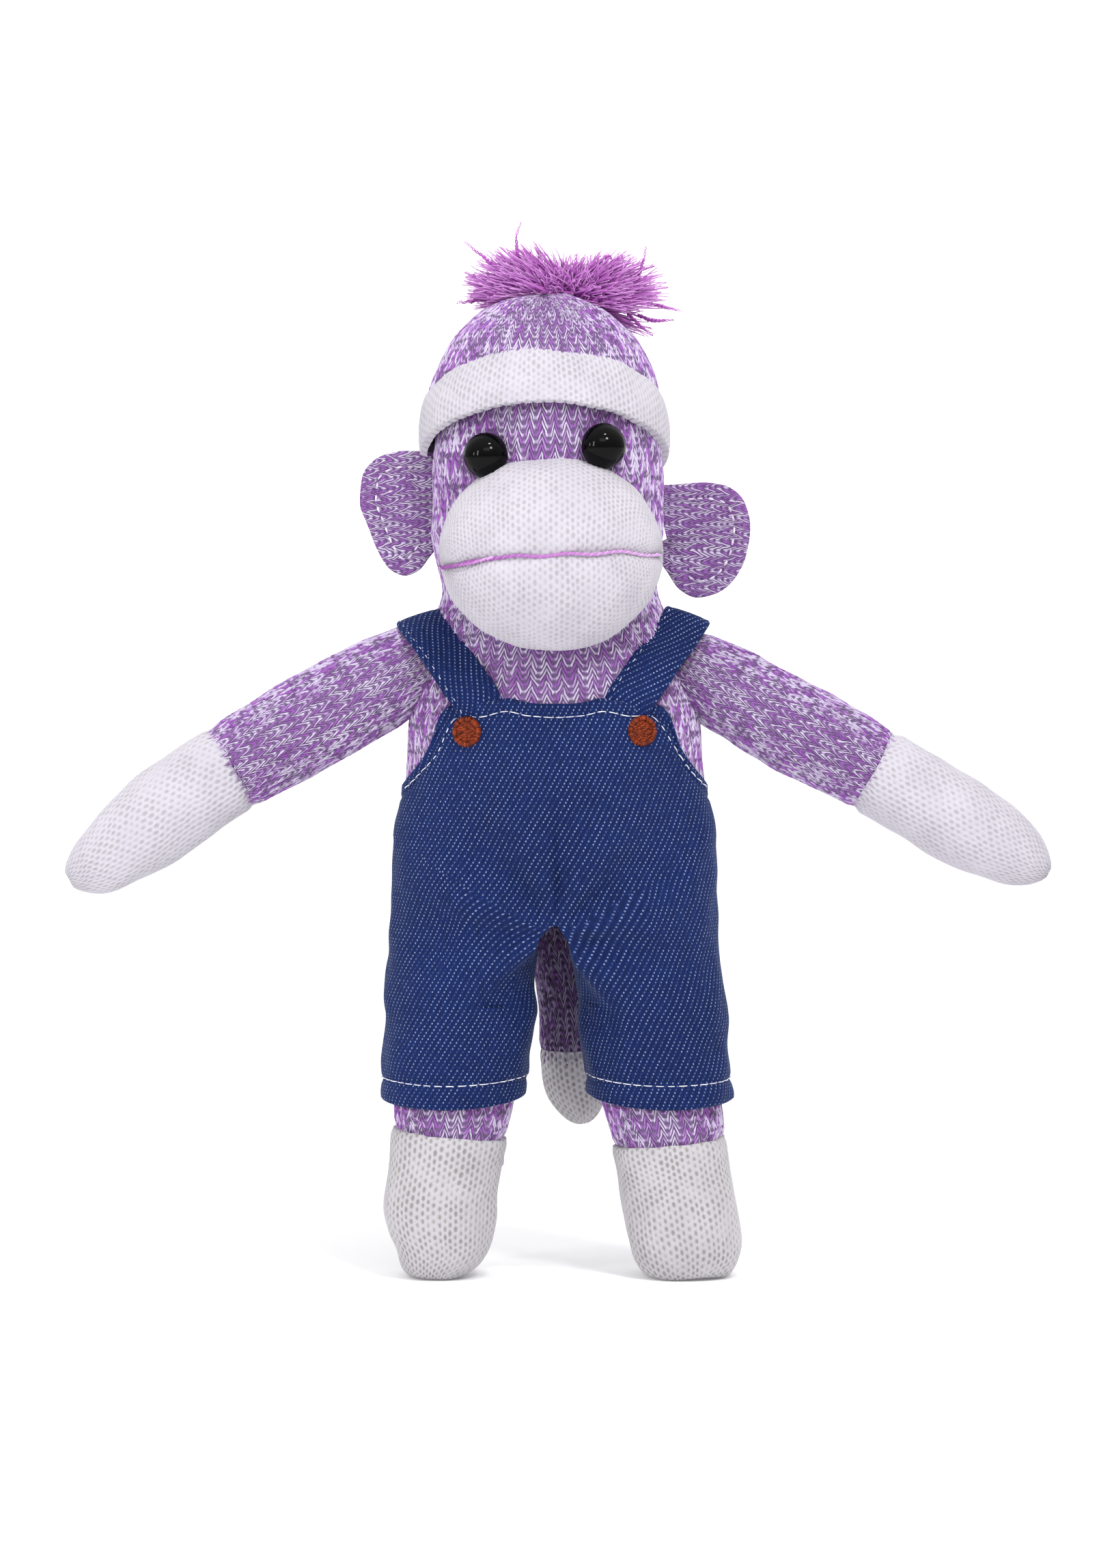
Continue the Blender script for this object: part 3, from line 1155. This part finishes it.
def leg(side, sign):
    spec = LEGS[side]
    centre, = through(spec["x"])
    seam_low, seam_tilt = {"left": (34.5, 1.5), "right": (32.3, 1.2)}[side]

    def seam_height(angle):
        return seam_low + sign * seam_tilt * np.cos(angle)

    half_x, half_y = through([(20, 13.2, 13.9), (34, 13.9, 14.3), (43, 14.9, 14.5), (60, 15.3, 14.2),
                              (80, 15.0, 14.2)])

    def sleeve(u, v):
        z = LEG_LOW + v * LEG_COURSE
        angle = 2 * math.pi * u / LEG_WALES - math.pi / 2
        pinch = 1 - 0.05 * hill(z, seam_height(angle), 1.3)
        return stack(centre(z) + half_x(z) * pinch * np.cos(angle), half_y(z) * pinch * np.sin(angle), z)

    foot_rows = np.array(spec["foot"])
    depth = distances(foot_rows[:, [0, 3]])
    foot_z, foot_x, foot_y, foot_rx, foot_ry = through(np.column_stack([depth, foot_rows]))
    foot_courses = depth[-1] / FINE_COURSE

    def cover(u, v):
        s = np.clip(v * FINE_COURSE, 0, depth[-1])
        angle = 2 * math.pi * u / FOOT_WALES - math.pi / 2
        square = squarish(angle, 2.35)
        extra = np.maximum(v * FINE_COURSE - depth[-1], 0)
        pinch = 1 - 0.03 * hill(s, depth[-1], 1.0)
        x = foot_x(s) + foot_rx(s) * square * pinch * np.cos(angle)
        y = foot_y(s) + foot_ry(s) * square * pinch * np.sin(angle)
        z = foot_z(s) + (seam_height(angle) - FOOT_TOP) * ease(0.55, 1.0, s / depth[-1])
        return stack(x, y, z + extra)

    def on_floor(points, out):
        points[..., 2] = np.maximum(points[..., 2], 0.05)
        return points

    sleeve_piece = knit(side + "_leg_knit", sleeve, LEG_WALES, LEG_COURSES, STOCKING, PURPLE_KNIT, 0.55)
    settle(sleeve_piece, side + "_leg", "purple_knit", side + "_leg_sleeve", side + "_leg_stuffing")
    foot = knit(side + "_foot_knit", cover, FOOT_WALES, foot_courses, FINE, FOOT_KNIT, 0.3, dent=on_floor)
    settle(foot, side + "_leg", "white_knit", side + "_foot_cover")


for side, sign in SIDES:
    leg(side, sign)

# ---------------------------------------------------------------- tail
TAIL_ROOT = np.array([0.0, 26.0, 97.0])
TAIL_LINE = unit(np.array([0.105, 0.20, -0.974]))
TAIL_R = 8.4
TAIL_SEAM = 45.5
TAIL_END = 66.0
TAIL_WALES, TAIL_COURSE = 21, 1.9
TIP_WALES, TIP_COURSE = 38, 1.8


def tail():
    side = unit(np.cross(np.array([0.0, 1.0, 0.0]), TAIL_LINE))
    front = np.cross(TAIL_LINE, side)

    def ring(u, wales, s, r):
        angle = 2 * math.pi * u / wales
        wave = 0.5 * np.sin(s * 0.16)
        return (TAIL_ROOT + s[..., None] * TAIL_LINE + (np.cos(angle) * r + wave)[..., None] * side
                + (np.sin(angle) * r)[..., None] * front)

    def sleeve(u, v):
        s = -TAIL_R * 0.97 + v * TAIL_COURSE
        r = TAIL_R * np.sqrt(np.clip(1 - (np.minimum(s, 0) / TAIL_R) ** 2, 0.05, 1))
        r = r * (1 - 0.06 * hill(s, TAIL_SEAM, 1.3)) * (1 + 0.02 * np.sin(s * 0.3))
        return ring(u, TAIL_WALES, s, r)

    def tip(u, v):
        s = np.minimum(TAIL_SEAM - 0.6 + v * TIP_COURSE, TAIL_END - 0.1)
        end = (s - TAIL_SEAM - 5) / (TAIL_END - TAIL_SEAM - 5)
        r = TAIL_R * np.sqrt(np.clip(1 - np.clip(end, 0, 1) ** 2.2, 0.004, 1))
        r = r * (1 - 0.04 * hill(s, TAIL_SEAM, 1.0))
        return ring(u, TIP_WALES, s, r)

    courses = int((TAIL_SEAM + TAIL_R) / TAIL_COURSE) + 1
    piece = knit("tail_knit", sleeve, TAIL_WALES, courses, STOCKING, TAIL_KNIT, 0.5)
    settle(piece, "tail", "purple_knit", "tail_sleeve", "tail_stuffing")
    end = knit("tail_tip_knit", tip, TIP_WALES, (TAIL_END - TAIL_SEAM) / TIP_COURSE, FINE, FOOT_KNIT, 0.3)
    settle(end, "tail", "white_knit", "tail_tip")


tail()

# ---------------------------------------------------------------- dungarees
GARMENT = [
    (80.0, 38.9, 20.8), (84.0, 39.1, 21.7), (92.0, 39.4, 22.7), (100.0, 39.4, 23.4), (109.0, 39.0, 23.8),
    (118.0, 37.7, 23.8), (127.0, 37.3, 23.6), (135.0, 36.5, 22.8), (142.0, 35.2, 21.2),
    (149.0, 33.6, 19.0),
]
GARMENT_RX, GARMENT_RY = through(GARMENT)
DENIM_THICK = 1.1
WAIST_X, WAIST_Y = 39.0, 23.6
# Half of the upper edge, as distance from the middle and height, for the front and for the back.
FRONT_EDGE = [(0.0, 138.6), (4.0, 138.6), (8.0, 139.2), (11.2, 139.9), (14.0, 139.3), (18.6, 138.9),
              (22.5, 138.6),
              (25.4, 138.0), (27.4, 136.0), (28.6, 132.6), (30.2, 128.2), (33.0, 124.0),
              (36.4, 120.2), (38.4, 118.0)]
BACK_EDGE = [(0.0, 134.6), (8.0, 135.0), (16.0, 135.4), (23.0, 135.2), (25.6, 133.4), (27.4, 129.8),
             (30.4, 125.4),
             (34.0, 121.0), (36.8, 118.8), (38.4, 118.0)]
BIB_STITCH = [(-36.6, 118.0), (-32.1, 122.6), (-28.0, 127.2), (-25.9, 132.2), (-24.2, 135.1),
              (-22.3, 136.0),
              (-18.3, 135.8), (-11.6, 137.2), (-6.5, 136.2), (0.0, 135.8), (6.5, 136.2), (11.6, 137.2),
              (18.3, 136.0), (22.3, 136.2), (24.4, 134.9), (28.4, 129.0), (32.6, 122.8), (36.8, 118.2)]
GROIN_IN = 6.0
GROIN_LOW = 86.0
GROIN_RISE = 21.0 / 34.0
HEM_Z = 43.0


def groin_height(x):
    return GROIN_LOW + np.maximum(np.abs(x) - GROIN_IN, 0.0) * GROIN_RISE


def on_garment(angle, z):
    return stack(GARMENT_RX(z) * np.cos(angle), GARMENT_RY(z) * np.sin(angle), z)


def off_body(points):
    """The level direction out of the cloth round the body."""
    return unit(stack(points[..., 0] / WAIST_X ** 2, points[..., 1] / WAIST_Y ** 2, 0))


def pressed(z):
    """How much of the creases is left, going up to the flat bib."""
    return 1 - 0.65 * ease(100.0, 128.0, z)


def creases(points):
    """Pulled folds fanning out from the crotch, and the cloth's slow unevenness."""
    x, y, z = points[..., 0], points[..., 1], points[..., 2]
    across = np.abs(x) + 0.6
    rise = z - 84.0
    reach = np.hypot(across, rise)
    fan = np.arctan2(rise, across)
    near = ease(3.0, 12.0, reach) * ease(46.0, 18.0, reach) * ease(0.0, 12.0, np.abs(y))
    lines = np.sin(fan * 7.0 + 0.7 * np.sign(x) + 0.4 * np.sign(y)) * near
    sharp = np.sign(lines) * np.abs(lines) ** 0.8
    knee = np.sin(z * 0.32 + np.abs(x) * 0.12 + np.sign(x)) * ease(74, 62, z) * ease(46, 54, z)
    return 1.5 * sharp + 0.4 * knee + 0.5 * wobble(points, 30.0, 8) + 0.16 * wobble(points, 11.0, 9) - 0.25


ARC_ANGLES = np.linspace(-math.pi, math.pi, 721)
ARC_MM = distances(stack(38.6 * np.cos(ARC_ANGLES), WAIST_Y * np.sin(ARC_ANGLES), 0))


def garment_upper():
    """Bib, waist and back in one piece of cloth, its upper edge turned in."""
    cols = 420
    angle = np.linspace(-math.pi, math.pi, cols + 1)
    front_edge, = through(FRONT_EDGE)
    back_edge, = through(BACK_EDGE)
    top = np.full(cols + 1, 125.0)
    low = np.full(cols + 1, 90.0)
    for _ in range(12):
        x = np.abs(GARMENT_RX(top) * np.cos(angle))
        wanted = np.where(np.sin(angle) < 0, front_edge(x), back_edge(x))
        top = top * 0.5 + wanted * 0.5
        low = groin_height(GARMENT_RX(low) * np.cos(angle))
    steps = np.concatenate([np.linspace(0, 1, 90), np.ones(5), 1 - np.linspace(0.02, 0.24, 12)])
    inward = np.concatenate([np.zeros(90), np.linspace(0.15, 1.0, 5), np.full(12, 1.0)]) * DENIM_THICK
    bump = np.concatenate([np.zeros(90), np.array([0.22, 0.42, 0.5, 0.42, 0.2]), np.zeros(12)])
    z = low[None, :] + (top - low)[None, :] * steps[:, None]
    below = top[None, :] - z
    outside = inward[:, None] == 0
    hem = hill(below, 2.9, 0.8) * outside
    corner = np.abs(np.cos(angle)) ** 10
    swell = 0.28 * ease(2.6, 1.0, below) * outside * (1 - corner)
    swell = swell - 0.7 * ease(12.0, 0.0, below) * corner
    base = on_garment(angle[None, :], z)
    lift = creases(base) * pressed(z) * ease(-0.5, 4.0, below + 1.0)
    points = base + off_body(base) * (lift - 0.35 * hem + swell - inward[:, None])[..., None]
    points[..., 2] += bump[:, None] * (1 - 0.8 * corner)
    u = np.interp(angle, ARC_ANGLES, ARC_MM)
    uv = np.stack(np.broadcast_arrays(u[None, :], z), -1)
    piece = grid_object("dungarees_body", points[:, :-1], uv, DENIM, True)
    return settle(piece, "torso", "denim", "dungarees_front", "dungarees_back")


def half_loop(sign, back):
    """The leg's upper edge from its outermost point to the crotch, over the front or the back."""
    way = 1.0 if back else -1.0
    angles = np.linspace(0.0, math.pi / 2, 160)
    x = 39.4 * np.cos(angles)
    z = groin_height(x)
    x = GARMENT_RX(z) * np.cos(angles)
    y = GARMENT_RY(z) * np.sin(angles)
    outer = stack(sign * np.maximum(x, 0.7), way * y, z)
    y_end = float(np.abs(outer[-1, 1]))
    y = np.linspace(y_end, 0.0, 40)[1:]
    drop = np.sin(math.pi * np.clip(1 - y / y_end, 0, 1) * 0.5)
    seam = stack(sign * 0.7, way * y, GROIN_LOW + 1.6 * drop)
    return np.vstack([outer, seam])


def hem_bow(way):
    """How far each point of a hem hangs below its mean height."""
    return -0.9 * np.cos(2 * way) + 0.5 * np.cos(way)


TROUSER = [(43.0, 17.4, 16.4), (50.0, 17.7, 16.5), (60.0, 18.0, 16.7), (75.0, 18.2, 17.4), (88.0, 18.2, 17.8)]
TROUSER_RX, TROUSER_RY = through(TROUSER)
LOOP_JOIN = 64.0     # below this the trouser leg is a plain tube
HEM_STITCH = 4.9     # the topstitching's height above the hem


def trouser_leg(side, sign):
    spec = LEGS[side]
    centre, = through(spec["x"])
    quarter = 72
    cols = quarter * 4
    # 0 points outward, a quarter turn is at the front and half a turn at the crotch.
    way = np.linspace(0, 2 * math.pi, cols + 1)
    front = half_loop(sign, False)
    back = half_loop(sign, True)
    waist = np.argmin(np.abs(np.abs(front[:, 0]) - 21.5))
    loop = np.vstack([even(front[:waist + 1], quarter + 1)[:-1], even(front[waist:], quarter + 1)[:-1],
                      even(back[waist:][::-1], quarter + 1)[:-1], even(back[:waist + 1][::-1], quarter + 1)])

    def ring(z, grow=0.0):
        z = np.asarray(z, float)[..., None]
        square = squarish(way, 2.25)
        x = centre(z) + sign * (TROUSER_RX(z) + grow) * square * np.cos(way)
        y = -(TROUSER_RY(z) + grow) * square * np.sin(way)
        return stack(x, y, z)

    joint = ring(np.array([LOOP_JOIN]))[0]
    t = np.linspace(0, 1, 46)[:, None, None]
    inner = ease(0.2, 0.85, (1 - np.cos(way)) / 2)[:, None]
    spread = {"left": 0.85, "right": 0.5}[side]
    leave = np.array([0.0, 0.0, -1.0]) * (1 - inner) + np.array([sign * spread, 0.0, -0.8]) * inner
    leave = leave * (20.0 + 10.0 * (1 - inner))
    arrive = np.zeros((cols + 1, 3))
    arrive[:, 2] = -20.0
    upper = ((2 * t ** 3 - 3 * t ** 2 + 1) * loop + (t ** 3 - 2 * t ** 2 + t) * leave
             + (3 * t ** 2 - 2 * t ** 3) * joint + (t ** 3 - t ** 2) * arrive)
    heights = np.linspace(LOOP_JOIN, HEM_Z, 44)[1:]
    lower = ring(heights)
    lower[..., 2] -= ease(60.0, HEM_Z, lower[..., 2]) * hem_bow(way)
    hem_end = ring(np.full(4, HEM_Z))
    outline = unit(np.stack([sign * np.cos(way), -np.sin(way), 0 * way], -1))
    roll = np.array([(-0.15, -0.45), (-0.6, -0.7), (-1.15, -0.55), (-1.5, 0.1)])
    hem_end = hem_end + roll[:, 0][:, None, None] * outline
    hem_end[..., 2] += roll[:, 1][:, None] - hem_bow(way)
    inside = ring(np.linspace(HEM_Z + 1.5, 66.0, 16), -1.6)
    points = np.vstack([upper, lower, hem_end, inside])
    split = len(upper) + len(lower)
    base = points[:split]
    across = np.gradient(base, axis=1)
    along = np.gradient(base, axis=0)
    out = unit(np.cross(along, across)) * (1.0 if sign < 0 else -1.0)
    out = out * np.sign((out * outline).sum(-1).mean())
    above = base[..., 2] - HEM_Z
    hem_bulge = 0.4 * hill(above, 1.6, 1.9) - 0.45 * hill(above, HEM_STITCH, 0.8)
    fade = ease(0.0, 0.03, np.linspace(0, 1, split))[:, None]
    side_line = -0.5 * hill(np.minimum(way, 2 * math.pi - way), 0.0, 0.05)
    lift = creases(base) + (hem_bulge + side_line[None, :]) * fade
    edge_out = off_body(base[0])
    keep = 1 - ease(0.0, 0.12, np.linspace(0, 1, split))[:, None, None]
    out = unit(out * (1 - keep) + edge_out * keep)
    at_crotch = (ease(8.0, 3.0, np.abs(base[..., 0])) * ease(21.5, 16.0, np.abs(base[..., 1]))
                 * ease(76.0, 83.0, base[..., 2]))
    points[:split] += out * (lift * (1 - at_crotch))[..., None]
    u = way * 17.6 * -sign
    uv = np.stack(np.broadcast_arrays(u[None, :], points[..., 2]), -1)
    points, uv = points[::-1], uv[::-1]
    if sign < 0:
        points, uv = points[:, ::-1], uv[:, ::-1]
    piece = grid_object(side + "_trouser_cloth", points[:, :-1], uv, DENIM, True)
    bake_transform(piece)
    dress(piece, "denim", side + "_trouser_leg")

    line = ring(np.array([HEM_Z + HEM_STITCH]), 0.1)[0]
    line[:, 2] -= ease(60.0, HEM_Z, HEM_Z + HEM_STITCH) * hem_bow(way)
    line = line + outline * (creases(line) - 0.32)[:, None]
    stitch = bundle_object(side + "_hem_stitches", stitches(line, outline, 2.5, 0.3, 0.125, 0.22, 60 + sign),
                           STITCH_THREAD, sides=6, tip=0.9)
    settle(stitch, side + "_leg", "white_thread", side + "_hem_topstitching")


dungarees_body = garment_upper()
for side, sign in SIDES:
    trouser_leg(side, sign)


def front_place(points, lift):
    """Points on the front of the bib, and the way out of the cloth there."""
    flat = np.asarray(points, float)
    x, z = flat[:, 0], flat[:, 1]
    y = -GARMENT_RY(z) * np.sqrt(np.clip(1 - (x / GARMENT_RX(z)) ** 2, 0, 1))
    base = stack(x, y, z)
    out = off_body(base)
    return base + out * (creases(base) * pressed(z) + lift)[:, None], out


bib_flat = resample([(x, 0, z) for x, z in BIB_STITCH], 400)[:, [0, 2]]
bib_line, bib_out = front_place(bib_flat, -0.2)
bib_stitches = bundle_object("bib_stitches", stitches(bib_line, bib_out, 2.4, 0.35, 0.125, 0.22, 70),
                             STITCH_THREAD, sides=6, tip=0.9)
settle(bib_stitches, "torso", "white_thread", "bib_topstitching")


def button(side, centre):
    """A disc of embroidery: short stitches inside, and a rim of thread laid across the edge."""
    rng = np.random.default_rng(11 if side == "left" else 12)
    radius = 3.6
    base, out = front_place([centre], 0.0)
    base, out = base[0], out[0]
    right = unit(np.cross(np.array([0.0, 0.0, 1.0]), out))
    over = np.cross(out, right)

    def at(a, b, lift):
        return base + right * a + over * b + out * lift

    rows = []
    for k in range(58):
        a = 2 * math.pi * k / 58 + rng.normal() * 0.02
        low, high = radius * rng.uniform(0.66, 0.74), radius * rng.uniform(0.97, 1.02)
        steps = np.linspace(0, 1, 7)
        r = low + (high - low) * steps
        lift = 0.15 + 0.75 * np.sin(math.pi * np.clip(steps, 0.02, 0.98)) ** 0.6
        path = np.array([at(q * math.cos(a), q * math.sin(a), h) for q, h in zip(r, lift)])
        rows.append((path, 0.2, rng.uniform()))
    for k in range(190):
        a, r = rng.uniform(0, 2 * math.pi), radius * 0.68 * math.sqrt(rng.uniform(0, 1))
        tilt = 0.35 * rng.normal() + 0.2
        half = rng.uniform(0.4, 0.85)
        x, y = r * math.cos(a), r * math.sin(a)
        steps = np.linspace(-1, 1, 5)
        height = rng.uniform(0.35, 0.75)
        path = np.array([at(x + s * half * math.cos(tilt), y + s * half * math.sin(tilt),
                            height - 0.35 * s * s) for s in steps])
        rows.append((path, 0.14, rng.uniform()))
    piece = bundle_object(side + "_button_embroidery", rows, BUTTON_THREAD, sides=6, tip=0.9)
    settle(piece, "torso", "button_thread", side + "_button")
    disc = [(radius * 0.99, -0.5), (radius * 0.99, 0.2), (radius * 0.9, 0.45), (radius * 0.6, 0.4),
            (0.3, 0.42)]
    backing = lathe(side + "_button_backing", disc, BUTTON_THREAD, base, tuple(out), 40)
    settle(backing, "torso", "button_thread")


button("left", (-21.0, 132.3))
button("right", (20.7, 132.5))

# Middle line of the left strap, from behind the bib over the shoulder to behind the back's upper edge.
STRAP_LINE = [
    (-16.6, -18.9, 134.0), (-18.4, -18.1, 139.2), (-21.9, -16.3, 144.4), (-26.2, -12.8, 150.6),
    (-30.4, -8.0, 156.0),
    (-32.8, -1.4, 159.4), (-32.0, 5.0, 158.2), (-28.4, 10.6, 152.0), (-24.0, 14.8, 144.5),
    (-20.8, 17.6, 137.5),
    (-19.4, 18.2, 131.5),
]
STRAP_WIDTH = 11.4


def strap(side, sign):
    line = np.array(STRAP_LINE) * np.array([-sign, 1.0, 1.0])
    if side == "right":
        line = line + np.array([-1.0, 0.0, -0.3])
    path = resample(line, 120)
    forward = unit(np.gradient(path, axis=0))
    out = unit((path - np.array([0.0, 0.0, 128.0])) * np.array([0.3, 1.0, 1.0]))
    across = unit(np.cross(forward, out))
    out = np.cross(across, forward)
    cols = 44
    angle = np.linspace(0, 2 * math.pi, cols + 1)
    half = STRAP_WIDTH / 2
    wide = np.sign(np.cos(angle)) * np.abs(np.cos(angle)) ** 0.35 * half
    thick = np.sign(np.sin(angle)) * np.abs(np.sin(angle)) ** 0.7
    edge = hill(np.abs(wide), half - 1.3, 0.5)
    fold = hill(np.abs(wide), half - 0.6, 0.7)
    section = thick * (0.62 + 0.22 * fold - 0.12 * edge)
    steps = np.linspace(0, 1, len(path))
    crown = 0.35 * (1 - (wide / half) ** 2)
    ripple = 0.35 * np.sin(steps * 21 + sign) * ease(0.0, 0.1, steps)
    level = section[None, :] + crown[None, :] + ripple[:, None] * (wide / half)[None, :] * 0.8
    level = level - 0.35 * wobble(path[:, None] + np.zeros((1, cols + 1, 1)), 16.0, 31)
    points = path[:, None] + across[:, None] * wide[None, :, None] + out[:, None] * level[..., None]
    uv = np.stack(np.broadcast_arrays(wide[None, :], distances(path)[:, None]), -1)
    if np.dot(np.cross(across[60], out[60]), forward[60]) < 0:
        points, uv = points[:, ::-1], uv[:, ::-1]
    piece = grid_object(side + "_strap_cloth", points[:, :-1], uv, DENIM, True, (True, True))
    settle(piece, "torso", "denim", side + "_strap")
    run = slice(6, -8)
    line = path[run] - across[run] * (half - 1.2) + out[run] * (0.62 - 0.12 + 0.05)
    line = line + out[run] * (-0.7 * ripple[run] - 0.35 * wobble(path[run], 16.0, 31))[:, None]
    rows = stitches(line, out[run], 1.5, 1.7, 0.09, 0.22, 79 + sign)
    seam = bundle_object(side + "_strap_stitches", rows, STITCH_THREAD, sides=5, tip=0.9)
    settle(seam, "torso", "white_thread")


for side, sign in SIDES:
    strap(side, sign)
